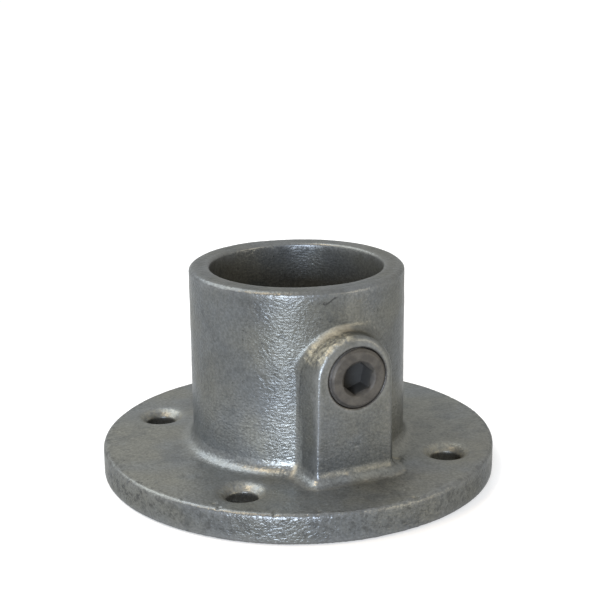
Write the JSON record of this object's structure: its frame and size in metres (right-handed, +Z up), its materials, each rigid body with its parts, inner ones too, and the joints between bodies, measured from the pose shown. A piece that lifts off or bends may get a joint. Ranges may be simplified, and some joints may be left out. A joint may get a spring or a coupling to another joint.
{
  "type": "tube clamp base flange",
  "caption": "Cast round base flange with a collar that holds a scaffold tube upright, clamped by a set screw in a boss.",
  "frame": {"origin": "centre of the foot's underside, on the socket's axis", "axes": "+Z up the socket's axis, the way the tube leaves; the set screw's outer end points along -Y, midway between two fixing holes"},
  "size_m": [0.114, 0.114, 0.06],
  "materials": {
    "galvanised_casting": "hot-dip galvanised, dull",
    "screw_steel": "dull, slightly stained"
  },
  "bodies": {
    "casting": {"flange_casting": "galvanised_casting"},
    "set_screw": {"set_screw": "screw_steel"}
  },
  "joints": [
    {"name": "set_screw_travel", "type": "slide", "parent": "casting", "child": "set_screw", "axis": [0, -1, 0], "range_m": [-0.00134, 0.00936]}
  ]
}
